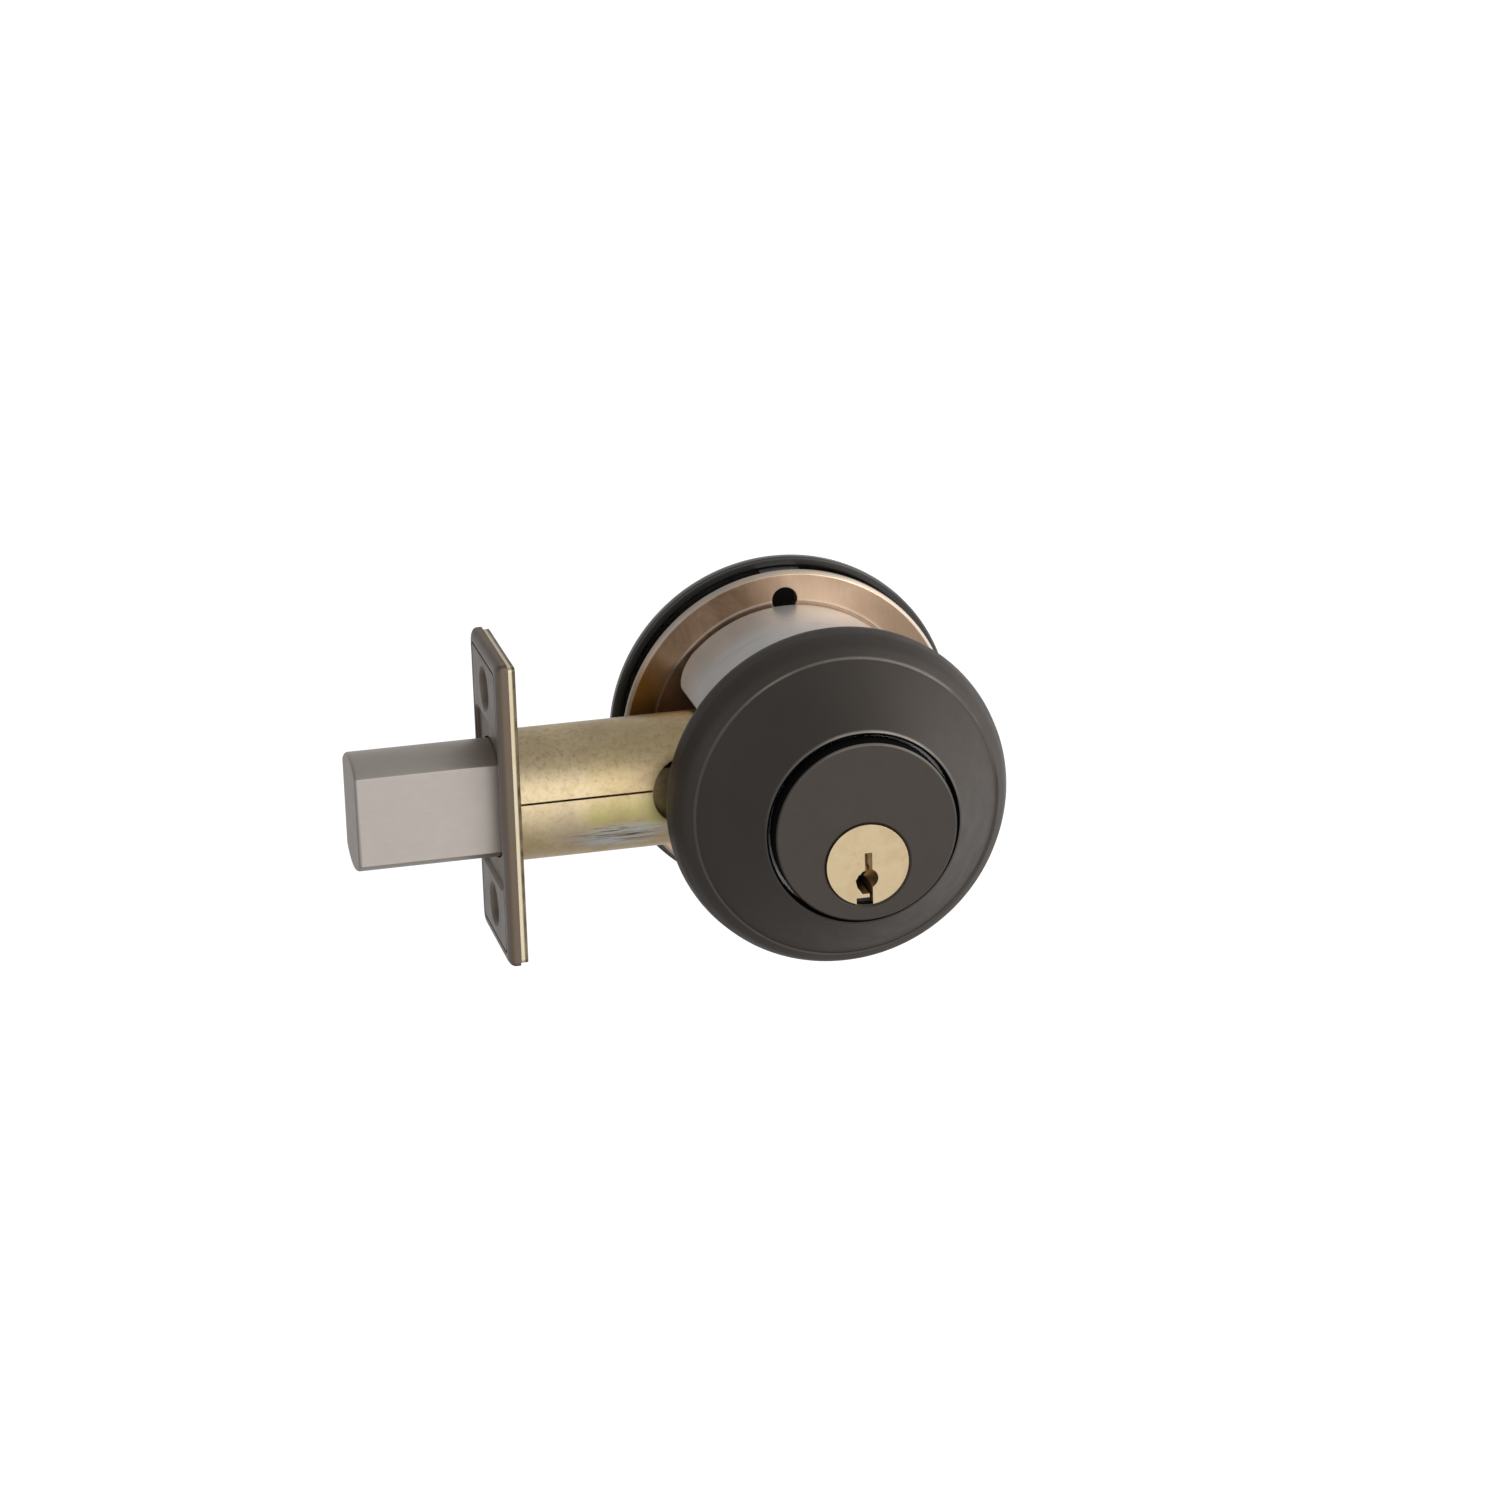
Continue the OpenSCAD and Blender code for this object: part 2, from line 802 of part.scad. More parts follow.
// Spring ring on the plate; its tabs grip the inside of the rose
module rose_clip() {
    tab_r = rose_r - rose_wall - 0.1;
    color(steel) {
        slab_y(in_y + mount_t, in_y + mount_t + 0.6)
            difference() {
                circle(r = tab_r);
                circle(r = tab_r - 2.2);
            }
        slab_y(in_y + mount_t, in_y + 7.2)
            for (mid = [0, 120, 240])
                ring_sector(tab_r - 0.6, tab_r, mid, 14);
    }
}

// Thumbturn: round base and a flat grip, level while the bolt is thrown
module thumbturn() {
    base_y = in_y + turn_front;
    end_y = base_y + 20.5;
    grip_half = grip_len / 2;
    grip_t = 8;
    color(black)
        difference() {
            union() {
                turned_in(base_y, turn_z)
                    polygon([[0, 0], [10, 0], [10, 3], [8.6, 4.4], [0, 4.4]]);
                intersection() {
                    translate([0, 0, turn_z])
                        slab_y(base_y + 3.5, end_y) {
                            square([grip_len - grip_t, grip_t], center = true);
                            for (side = [-1, 1])
                                translate([side * (grip_half - grip_t / 2), 0])
                                    circle(r = grip_t / 2);
                        }
                    turned_in(base_y, turn_z)
                        polygon([[0, 0], [8.4, 3], [grip_half - 4, 9], [grip_half, 13.5],
                                 [grip_half, 17.5], [grip_half - 1.2, 19.4],
                                 [grip_half - 3.5, 20.5], [0, 20.5]]);
                }
            }
            rod_y(spindle_r + slip, base_y - 1, base_y + 3.2, z = turn_z);
            rod_x(1 + slip, -12, 12, y = base_y + 1.6, z = turn_z);
        }
}

// Spindle that carries the thumbturn and takes the end of the tailpiece
module turn_spindle() {
    clip_y = in_y + 8.1;
    color(steel)
        difference() {
            rod_y(spindle_r, in_y - 4.5, in_y + turn_front + 3.1, z = turn_z);
            slab_y(in_y - 5, in_y + 6)
                translate([0, turn_z])
                    square([tail_t + 2 * slip, tail_w + 2 * slip], center = true);
            rod_x(1 + slip, -6, 6, y = in_y + turn_front + 1.6, z = turn_z);
            translate([0, 0, turn_z])
                slab_y(clip_y, clip_y + 0.9)
                    difference() {
                        circle(r = spindle_r + 1);
                        circle(r = spindle_r - 0.8);
                    }
        }
}

// Cross pin that locks the thumbturn to its spindle
module thumbturn_pin() {
    color(steel)
        rod_x(1, -9.6, 9.6, y = in_y + turn_front + 1.6, z = turn_z);
}

// Flanged bushing in the rose that the spindle turns in
module spindle_bushing() {
    color(nylon)
        turned_in(in_y, turn_z)
            polygon([
                [spindle_r + run_gap, 9.5], [8, 9.5], [8, 10.4], [6.45, 10.4], [6.45, rose_back + 0.1],
                [spindle_r + run_gap, rose_back + 0.1]
            ]);
}

// Washer between the clip and the bushing
module spindle_washer() {
    color(brass)
        translate([0, 0, turn_z])
            slab_y(in_y + 9.1, in_y + 9.4)
                difference() {
                    circle(r = 7.4);
                    circle(r = spindle_r + 0.1);
                }
}

// Clip in the spindle's groove that holds the thumbturn in the rose
module spindle_clip() {
    color(steel)
        translate([0, 0, turn_z])
            slab_y(in_y + 8.2, in_y + 8.9)
                open_ring(spindle_r - 0.7, spindle_r + 1.9, 4);
}

// ---------- assembly ----------

collar();
collar_snap_ring();
cylinder_housing();
cylinder_body();
key_plug();
key_pins();
driver_pins();
pin_springs();
pin_cover_strip();
drill_guard_pins();
plug_retainer_cap();
retainer_cap_screws();
tailpiece();
cylinder_screws();
faceplate();
backing_plate();
latch_tube();
guide_cheeks();
bolt();
bolt_roller_pin();
drive_bar();
drive_bar_rivets();
hub();
crank_pin();
cage_plate_front();
cage_plate_rear();
cage_rivets();
detent_spring();
mounting_plate();
through_bolts();
rose();
rose_clip();
thumbturn();
turn_spindle();
thumbturn_pin();
spindle_bushing();
spindle_washer();
spindle_clip();
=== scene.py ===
"""Looks of the tubular deadbolt lock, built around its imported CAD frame.

Lengths are in millimetres, turned into metres by MM, but for the studio's floor and lamp, which
are in metres. Noise scales count per metre. The axes are the frame's: -Y outside (key side),
+Y inside (thumbturn), -X the door's edge, +Z up.
"""

import json
import math

import bmesh
import bpy
from mathutils import Matrix, Vector


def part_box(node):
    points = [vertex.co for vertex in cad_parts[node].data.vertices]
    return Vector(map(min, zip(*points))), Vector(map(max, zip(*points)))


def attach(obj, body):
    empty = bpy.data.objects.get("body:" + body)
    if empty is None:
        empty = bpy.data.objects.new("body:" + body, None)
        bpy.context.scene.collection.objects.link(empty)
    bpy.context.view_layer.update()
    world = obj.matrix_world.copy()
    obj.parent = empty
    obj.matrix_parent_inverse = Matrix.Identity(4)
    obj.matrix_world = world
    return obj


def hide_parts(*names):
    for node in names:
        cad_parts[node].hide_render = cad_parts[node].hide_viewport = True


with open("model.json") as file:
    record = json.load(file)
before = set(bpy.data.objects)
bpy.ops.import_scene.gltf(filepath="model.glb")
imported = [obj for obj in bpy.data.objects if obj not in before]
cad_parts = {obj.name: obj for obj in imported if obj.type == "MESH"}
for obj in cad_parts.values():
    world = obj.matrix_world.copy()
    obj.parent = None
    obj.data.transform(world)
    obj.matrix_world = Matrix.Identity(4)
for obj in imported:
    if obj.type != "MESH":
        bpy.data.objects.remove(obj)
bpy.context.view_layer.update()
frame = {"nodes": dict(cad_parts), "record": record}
nodes = frame["nodes"]
scene = bpy.context.scene

MM = 0.001
SMOOTH_BELOW = math.radians(28)   # edges that turn less than this are shaded smooth
SQUARE = 0.99999                  # a normal's share along one axis that marks a flat face
WELD, EMPTY = 1e-7, 1e-8          # metres: points merged, edges dissolved
BEVEL_SAMPLES = 4
ROUND_SEGMENTS = 224              # round the collar and the rose


# ---------------------------------------------------------------- mesh helpers

def mm_box(node):
    """A CAD node's box at rest, in millimetres."""
    low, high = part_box(node)
    return low / MM, high / MM


def middle_z(node):
    """The height of a CAD node's middle, in millimetres."""
    low, high = mm_box(node)
    return (low.z + high.z) / 2


def frame_mount(name):
    """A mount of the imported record, by name."""
    return next(m for m in frame["record"]["mounts"] if m["name"] == name)


def fillet(points, radii, steps=6):
    """A closed outline with each corner rounded to its radius; 0 keeps the corner."""
    nearly_straight = math.pi - 0.02
    longest = 0.49                # of the shorter edge, so two corners never meet
    out = []
    count = len(points)
    for i, (point, radius) in enumerate(zip(points, radii)):
        here = Vector(point)
        before = Vector(points[i - 1]) - here
        after = Vector(points[(i + 1) % count]) - here
        angle = before.angle(after)
        if radius <= 0 or angle > nearly_straight:
            out.append(here)
            continue
        reach = radius / math.tan(angle / 2)
        reach = min(reach, before.length * longest, after.length * longest)
        start = here + before.normalized() * reach
        end = here + after.normalized() * reach
        for k in range(steps + 1):
            t = k / steps
            out.append(start * (1 - t) ** 2 + here * 2 * t * (1 - t) + end * t * t)
    return out


def new_piece(name, verts, faces):
    """A mesh object from points in millimetres, with its faces turned outwards."""
    mesh = bpy.data.meshes.new(name)
    mesh.from_pydata([Vector(v) * MM for v in verts], [], faces)
    mesh.validate()
    piece = bpy.data.objects.new(name, mesh)
    scene.collection.objects.link(piece)
    work = bmesh.new()
    work.from_mesh(mesh)
    bmesh.ops.recalc_face_normals(work, faces=work.faces)
    work.to_mesh(mesh)
    work.free()
    return piece


def lathe(name, outline, segments):
    """Turns a closed outline of (radius, y) about the Y axis."""
    verts, faces = [], []
    count = len(outline)
    for s in range(segments):
        turn = 2 * math.pi * s / segments
        for radius, y in outline:
            verts.append((radius * math.sin(turn), y, radius * math.cos(turn)))
    for s in range(segments):
        a, b = s * count, ((s + 1) % segments) * count
        for k in range(count):
            n = (k + 1) % count
            faces.append((a + k, a + n, b + n, b + k))
    piece = new_piece(name, verts, faces)
    weld(piece)
    return piece


def weld(piece):
    """Merges doubled points, such as those on a lathe's axis, and drops empty faces."""
    work = bmesh.new()
    work.from_mesh(piece.data)
    bmesh.ops.remove_doubles(work, verts=work.verts, dist=WELD)
    bmesh.ops.dissolve_degenerate(work, edges=work.edges, dist=EMPTY)
    bmesh.ops.recalc_face_normals(work, faces=work.faces)
    work.to_mesh(piece.data)
    work.free()


def at_x(x, outline):
    """An outline of (y, z) points set at x."""
    return [(x, y, z) for y, z in outline]


def at_y(y, outline):
    """An outline of (x, z) points set at y."""
    return [(x, y, z) for x, z in outline]


def prism(name, outline, low, high, along="X"):
    """A closed outline given length: (y, z) along X, or (x, z) along Y."""
    place = at_x if along == "X" else at_y
    return loft(name, [place(low, outline), place(high, outline)])


def loft(name, rings):
    """A skin over rings of equal length, closed at both ends."""
    count = len(rings[0])
    verts = [p for ring in rings for p in ring]
    faces = [tuple(range(count)), tuple(range(len(verts) - 1, len(verts) - count - 1, -1))]
    for r in range(len(rings) - 1):
        a, b = r * count, (r + 1) * count
        for k in range(count):
            n = (k + 1) % count
            faces.append((a + k, a + n, b + n, b + k))
    return new_piece(name, verts, faces)


def circle(radius, u=0.0, v=0.0, segments=64):
    """An outline: a circle about (u, v)."""
    turns = [2 * math.pi * s / segments for s in range(segments)]
    return [(u + radius * math.cos(t), v + radius * math.sin(t)) for t in turns]


def rectangle(width, height, radius, steps=6):
    """An outline: a rectangle about the origin, with rounded corners."""
    w, h = width / 2, height / 2
    corners = [(-w, -h), (w, -h), (w, h), (-w, h)]
    return fillet(corners, [radius] * 4, steps)


def flat_sided(radius, half, segments=28):
    """Round stock with two flats at +-half in the first coordinate."""
    start = math.acos(half / radius)
    out = []
    for base in (0, math.pi):
        for k in range(segments + 1):
            t = base + start + (math.pi - 2 * start) * k / segments
            out.append((radius * math.cos(t), radius * math.sin(t)))
    return out


def bake(piece):
    """Applies the piece's modifiers to its mesh."""
    bpy.context.view_layer.update()
    graph = bpy.context.evaluated_depsgraph_get()
    mesh = bpy.data.meshes.new_from_object(piece.evaluated_get(graph), depsgraph=graph)
    piece.modifiers.clear()
    old = piece.data
    piece.data = mesh
    bpy.data.meshes.remove(old)
    mesh.name = piece.name


def cut(piece, tools):
    """Cuts the tools out of the piece and removes them."""
    for tool in tools:
        change = piece.modifiers.new("cut", "BOOLEAN")
        change.operation = "DIFFERENCE"
        change.solver = "EXACT"
        change.object = tool
    bake(piece)
    for tool in tools:
        bpy.data.objects.remove(tool)


def soften(piece, width, segments, angle=32):
    """Rounds the piece's edges that turn more than angle, in degrees."""
    change = piece.modifiers.new("soften", "BEVEL")
    change.width = width * MM
    change.segments = segments
    change.limit_method = "ANGLE"
    change.angle_limit = math.radians(angle)
    change.use_clamp_overlap = True
    change.harden_normals = False
    bake(piece)


def shade(piece):
    """Smooth shading, except on faces that lie square to an axis."""
    # This call sets every face smooth, so the flat ones are set after it
    piece.data.set_sharp_from_angle(angle=SMOOTH_BELOW)
    for face in piece.data.polygons:
        face.use_smooth = max(abs(part) for part in face.normal) < SQUARE


def finish_piece(piece, body, slot, stands_for):
    shade(piece)
    piece.data.materials.clear()
    piece.data.materials.append(looks[slot])
    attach(piece, body)
    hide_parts(stands_for)


# ---------------------------------------------------------------- materials

class Finish:
    """A Principled material, with short ways to add procedural detail."""

    COAT_ROUGHNESS = 0.2

    def __init__(self, name, metallic, specular=0.5, coat=0.0):
        self.material = bpy.data.materials.new(name)
        self.material.use_nodes = True
        self.tree = self.material.node_tree
        self.shader = self.tree.nodes["Principled BSDF"]
        self.shader.inputs["Metallic"].default_value = metallic
        self.shader.inputs["Specular IOR Level"].default_value = specular
        self.shader.inputs["Coat Weight"].default_value = coat
        self.shader.inputs["Coat Roughness"].default_value = self.COAT_ROUGHNESS
        self.place = self.node("ShaderNodeTexCoord").outputs["Object"]

    def node(self, kind, **settings):
        made = self.tree.nodes.new(kind)
        for key, value in settings.items():
            setattr(made, key, value)
        return made

    def link(self, a, b):
        self.tree.links.new(a, b)

    def stretched(self, scale):
        """Coordinates scaled by (x, y, z), for grain that runs one way."""
        mapping = self.node("ShaderNodeMapping")
        mapping.inputs["Scale"].default_value = scale
        self.link(self.place, mapping.inputs["Vector"])
        return mapping.outputs["Vector"]

    def noise(self, scale, detail=3.0, rough=0.5, place=None, distortion=0.0):
        made = self.node("ShaderNodeTexNoise")
        made.inputs["Scale"].default_value = scale
        made.inputs["Detail"].default_value = detail
        made.inputs["Roughness"].default_value = rough
        made.inputs["Distortion"].default_value = distortion
        self.link(place or self.place, made.inputs["Vector"])
        return made.outputs["Fac"]

    def ramp(self, value, stops):
        """Maps a value through (position, colour or grey) stops."""
        made = self.node("ShaderNodeValToRGB")
        ramp = made.color_ramp
        while len(ramp.elements) < len(stops):
            ramp.elements.new(0.5)
        for element, (position, colour) in zip(ramp.elements, stops):
            element.position = position
            if not isinstance(colour, (tuple, list)):
                colour = (colour,) * 3
            element.color = (*colour, 1.0)
        self.link(value, made.inputs["Fac"])
        return made.outputs["Color"]

    def mix(self, factor, a, b, blend="MIX"):
        """Goes from a to b as the factor goes from 0 to 1."""
        made = self.node("ShaderNodeMix", data_type="RGBA", blend_type=blend)
        for socket, value in ((made.inputs[0], factor), (made.inputs[6], a), (made.inputs[7], b)):
            if isinstance(value, (int, float)):
                socket.default_value = value
            elif isinstance(value, (tuple, list)):
                socket.default_value = (*value, 1.0)
            else:
                self.link(value, socket)
        return made.outputs[2]

    def math(self, operation, a, b=None):
        made = self.node("ShaderNodeMath", operation=operation)
        for socket, value in zip(made.inputs, (a, b)):
            if value is None:
                continue
            if isinstance(value, (int, float)):
                socket.default_value = value
            else:
                self.link(value, socket)
        return made.outputs[0]

    def rounded(self, reach):
        """The normal as it would be with every edge rounded by reach, in millimetres."""
        bevel = self.node("ShaderNodeBevel", samples=BEVEL_SAMPLES)
        bevel.inputs["Radius"].default_value = reach * MM
        return bevel.outputs["Normal"]

    def edges(self):
        """White within 0.3 mm of an edge."""
        turned = self.node("ShaderNodeVectorMath", operation="DOT_PRODUCT")
        self.link(self.rounded(0.3), turned.inputs[0])
        self.link(self.node("ShaderNodeNewGeometry").outputs["Normal"], turned.inputs[1])
        return self.ramp(turned.outputs["Value"], [(0.80, 1.0), (0.985, 0.0)])

    def facing(self):
        """White where the surface faces along the lock's axis, black on walls around it."""
        split = self.node("ShaderNodeSeparateXYZ")
        self.link(self.node("ShaderNodeTexCoord").outputs["Normal"], split.inputs[0])
        return self.ramp(self.math("ABSOLUTE", split.outputs[1]), [(0.25, 0.0), (0.5, 1.0)])

    def hollows(self):
        """White in grooves and inside corners."""
        geometry = self.node("ShaderNodeNewGeometry")
        return self.ramp(geometry.outputs["Pointiness"], [(0.40, 1.0), (0.49, 0.0)])

    def along(self, axis, low, high):
        """Rises from 0 to 1 between two places, in millimetres, on axis 0, 1 or 2."""
        split = self.node("ShaderNodeSeparateXYZ")
        self.link(self.place, split.inputs[0])
        spread = self.node("ShaderNodeMapRange")
        spread.inputs["From Min"].default_value = low * MM
        spread.inputs["From Max"].default_value = high * MM
        self.link(split.outputs[axis], spread.inputs["Value"])
        return spread.outputs["Result"]

    def radius(self, centre_z=0.0):
        """Distance from the lock's axis, or from one parallel to it at height centre_z."""
        split = self.node("ShaderNodeSeparateXYZ")
        self.link(self.place, split.inputs[0])
        across = self.math("POWER", self.math("ABSOLUTE", split.outputs[0]), 2)
        rise = self.math("SUBTRACT", split.outputs[2], centre_z * MM)
        up = self.math("POWER", self.math("ABSOLUTE", rise), 2)
        return self.math("SQRT", self.math("ADD", across, up))

    def ring_line(self, radius, half):
        """White on a narrow band at one radius about the lock's axis."""
        off = self.math("ABSOLUTE", self.math("SUBTRACT", self.radius(), radius * MM))
        return self.ramp(self.math("DIVIDE", off, 2 * half * MM), [(0.3, 1.0), (0.7, 0.0)])

    def patch(self, centre, reach):
        """White in a soft-edged ellipsoid; centre and reach are (x, y, z) in millimetres."""
        mapping = self.node("ShaderNodeMapping")
        mapping.inputs["Scale"].default_value = [1 / (r * MM) for r in reach]
        mapping.inputs["Location"].default_value = [-c / r for c, r in zip(centre, reach)]
        self.link(self.place, mapping.inputs["Vector"])
        length = self.node("ShaderNodeVectorMath", operation="LENGTH")
        self.link(mapping.outputs["Vector"], length.inputs[0])
        return self.ramp(length.outputs["Value"], [(0.45, 1.0), (1.0, 0.0)])

    def drifting(self, tones):
        """Plating that drifts slowly between tones."""
        return self.ramp(self.noise(60, 4, 0.55, distortion=0.8), tones)

    def drawn_grain(self, scale):
        """The fine lines of drawn metal; the smallest of the (x, y, z) scales runs along them."""
        return self.noise(1, 5, 0.65, place=self.stretched(scale))

    def shaded_by(self, base, grain, strength):
        """Darkens the base a little in the grain's valleys."""
        return self.mix(strength, base, self.ramp(grain, [(0.3, 0.6), (0.7, 1.0)]), "MULTIPLY")

    def satin(self, low, high):
        """The roughness of plating, between two values."""
        return self.ramp(self.noise(180, 4, 0.6), [(0.3, low), (0.72, high)])

    def colour(self, value):
        self.link(value, self.shader.inputs["Base Color"])

    def roughness(self, value):
        self.link(value, self.shader.inputs["Roughness"])

    def bump(self, *layers, round_edges=0.0):
        """Stacks (height, depth in millimetres) layers of bump, on slightly rounded edges."""
        last = self.rounded(round_edges) if round_edges else None
        for height, depth in layers:
            made = self.node("ShaderNodeBump")
            made.inputs["Distance"].default_value = depth * MM
            self.link(height, made.inputs["Height"])
            if last:
                self.link(last, made.inputs["Normal"])
            last = made.outputs["Normal"]
        self.link(last, self.shader.inputs["Normal"])


def bronze(name, dark, light, rub_and_highlight_tone, edge_rub_and_highlight, rough=(0.42, 0.54), metallic=0.8, walls=None,
           lines=(), hollow_shade=0.0, coat=0.0, behind=None, gap=None):
    """Oil-rubbed bronze: dark satin film, cloudy, edges rubbed lighter, partly a painted
    highlight.

    lines are painted highlight rings, as (radius, half width); cavity is painted shade in hollows;
    behind is painted shade that takes over along X, as (from, to, tone); walls is painted shade
    on surfaces round the lock's axis. gap is (radius, way): painted shade covers what lies
    outside the radius for way 1, inside it for -1.
    """
    gap_shade, fade = (0.004, 0.004, 0.004), 0.1
    f = Finish(name, metallic=metallic, specular=0.4, coat=coat)
    cloud = f.noise(55, 4, 0.5, distortion=0.3)
    grain = f.noise(4200, 2, 0.6)
    base = f.mix(f.ramp(cloud, [(0.25, 0.0), (0.8, 1.0)]), dark, light)
    base = f.mix(f.ramp(grain, [(0.35, 0.0), (0.7, 0.5)]), base, light)
    # Edges lightened in patches: partly rubbed, partly a painted highlight
    patchy = f.ramp(f.noise(420, 4), [(0.35, 0.2), (0.65, 1.0)])
    base = f.mix(f.math("MULTIPLY", f.math("MULTIPLY", f.edges(), patchy), edge_rub_and_highlight), base, rub_and_highlight_tone)
    # Painted shade: a darker tone takes over past a place along X
    if behind:
        start, stop, tone = behind
        base = f.mix(f.along(0, start, stop), base, tone)
    # Painted shade darkens the hollows
    if hollow_shade:
        base = f.mix(f.math("MULTIPLY", f.hollows(), hollow_shade), base,
                     tuple(0.25 * tone for tone in dark))
    for radius, half in lines:
        # Painted highlight: each ring is lit only on its upper right, where the light falls
        lit = f.math("MULTIPLY", f.ring_line(radius, half), f.along(2, 2, 22))
        lit = f.math("MULTIPLY", lit, f.along(0, -26, -4))
        lit = f.math("MULTIPLY", lit, f.ramp(f.noise(90, 3), [(0.3, 0.25), (0.6, 0.8)]))
        base = f.mix(lit, base, rub_and_highlight_tone)
    # Painted shade on the surfaces round the lock's axis
    if walls:
        base = f.mix(f.facing(), walls, base)
    sheen = f.ramp(f.noise(260, 5, 0.65), [(0.3, rough[0]), (0.7, rough[1])])
    # Painted shade in the gap, which is also made fully rough
    if gap:
        radius, way = gap
        past = f.math("SUBTRACT", f.radius(), radius * MM)
        gap_shade_mask = f.ramp(f.math("MULTIPLY", past, way / (fade * MM)),
                       [(0.0, 0.0), (1.0, 1.0)])
        base = f.mix(gap_shade_mask, base, gap_shade)
        sheen = f.mix(gap_shade_mask, sheen, (1.0, 1.0, 1.0))
    f.colour(base)
    f.roughness(sheen)
    f.bump((grain, 0.004), (f.noise(600, 3), 0.006))
    return f.material


def plated(name, tones, rough, grain_along=(1, 1, 1), streak=0.25):
    """Plated steel: tones drift over the surface and a drawn grain runs one way."""
    f = Finish(name, metallic=1.0)
    grain = f.drawn_grain(tuple(2200 * g for g in grain_along))
    f.colour(f.shaded_by(f.drifting(tones), grain, streak))
    f.roughness(f.satin(*rough))
    f.bump((grain, 0.002), (f.noise(300, 3), 0.002), round_edges=0.15)
    return f.material


def dichromate(name):
    """Yellow zinc on a drawn tube: gold drifting to olive and rose, brown patina, bare scuffs."""
    f = Finish(name, metallic=1.0)
    base = f.ramp(f.noise(48, 4, 0.55, distortion=1.0),
                  [(0.28, (0.56, 0.40, 0.19)), (0.46, (0.76, 0.59, 0.33)),
                   (0.60, (0.84, 0.68, 0.43)), (0.78, (0.62, 0.46, 0.21))])
    rosy = f.noise(30, 3, 0.5, distortion=2.0)
    base = f.mix(f.ramp(rosy, [(0.30, 0.3), (0.42, 0.0)]), base, (0.60, 0.46, 0.40))

    # Brown speckles, thickest on the tube's upper side
    stain = f.noise(900, 6, 0.75, distortion=0.3)
    speckle = f.math("MULTIPLY", f.ramp(stain, [(0.47, 0.0), (0.70, 0.7)]),
                     f.ramp(f.along(2, -6, 13), [(0.2, 0.35), (1.0, 1.0)]))
    base = f.mix(speckle, base, (0.24, 0.17, 0.08))
    upper = f.math("MULTIPLY", f.along(2, 4, 12),
                   f.ramp(f.noise(70, 4), [(0.35, 0.2), (0.6, 0.7)]))
    base = f.mix(upper, base, (0.52, 0.41, 0.24))

    # Yellow-green film, and bare scuffs that run along the tube, near its notched end
    film = f.patch((-37, -11.5, -2.2), (11, 5, 4.2))
    film = f.math("MULTIPLY", film, f.ramp(f.noise(110, 4, 0.6), [(0.38, 0.0), (0.6, 0.65)]))
    base = f.mix(film, base, (0.66, 0.64, 0.22))
    streaks = f.noise(1, 6, 0.75, place=f.stretched((90, 900, 2200)))
    bare = f.math("MULTIPLY", f.patch((-38, -10.2, -6.4), (11, 5.5, 3.6)),
                  f.ramp(streaks, [(0.42, 0.0), (0.5, 1.0)]))
    base = f.mix(bare, base, (0.78, 0.78, 0.77))
    dark_streaks = f.math("MULTIPLY", f.patch((-40, -10.4, -6.0), (9.5, 5, 3.4)),
                          f.ramp(streaks, [(0.39, 1.0), (0.46, 0.0)]))
    base = f.mix(dark_streaks, base, (0.13, 0.12, 0.10))
    f.colour(base)
    rough = f.ramp(f.noise(160, 5, 0.65), [(0.3, 0.28), (0.7, 0.40)])
    f.roughness(f.mix(bare, rough, (0.2, 0.2, 0.2)))
    f.bump((stain, 0.004), (f.noise(260, 3), 0.004), round_edges=0.15)
    return f.material


def patinated_plate(name, rim, relief):
    """Dichromated plate: rose copper, cream at the top, brown to the right and on the left.

    rim and relief are the radii of its two painted highlight rings.
    """
    f = Finish(name, metallic=1.0)
    base = f.drifting([(0.3, (0.70, 0.45, 0.29)), (0.55, (0.84, 0.57, 0.39)),
                       (0.8, (0.66, 0.40, 0.25))])
    base = f.mix(f.patch((8, 17.5, 29), (15, 8, 7)), base, (0.96, 0.68, 0.47))
    base = f.mix(f.along(0, 12, 27), base, (0.38, 0.27, 0.18))
    smoky = f.math("MULTIPLY", f.patch((-17, 17.5, 25), (20, 9, 12)),
                   f.ramp(f.noise(90, 5, 0.6, distortion=0.6), [(0.3, 0.45), (0.6, 1.0)]))
    base = f.mix(smoky, base, (0.25, 0.15, 0.09))
    base = f.mix(f.patch((-32, 17.5, 9), (14, 8, 16)), base, (0.34, 0.18, 0.055))
    grain = f.drawn_grain((2200, 2200, 330))
    base = f.shaded_by(base, grain, 0.2)
    # Painted highlights: bright cream rings on the rim and round the relief
    for radius, strength in ((rim - 0.2, 0.5), (relief, 0.35)):
        base = f.mix(f.math("MULTIPLY", f.ring_line(radius, 0.3), strength), base,
                     (1.0, 0.93, 0.82))
    f.colour(base)
    f.roughness(f.satin(0.30, 0.40))
    f.bump((grain, 0.002), (f.noise(300, 3), 0.004), round_edges=0.3)
    return f.material


def backing_gold(name, front, back):
    """Gold plate whose edge is bright in front and darkened towards the door by painted shade."""
    f = Finish(name, metallic=1.0)
    base = f.drifting([(0.3, (0.84, 0.70, 0.46)), (0.6, (0.95, 0.84, 0.62)),
                       (0.8, (0.80, 0.63, 0.38))])
    # Painted shade over the rear part of the plate's edge
    split, blur = front + 0.55 * (back - front), 0.12
    rear_shade = f.along(0, split - blur, split + blur)
    wavy = f.ramp(f.noise(300, 4), [(0.3, 0.75), (0.7, 1.0)])
    base = f.mix(f.math("MULTIPLY", rear_shade, wavy), base, (0.10, 0.065, 0.035))
    grain = f.drawn_grain((2200, 2200, 220))
    f.colour(f.shaded_by(base, grain, 0.2))
    f.roughness(f.satin(0.20, 0.32))
    f.bump((grain, 0.002), (f.noise(300, 3), 0.002), round_edges=0.15)
    return f.material


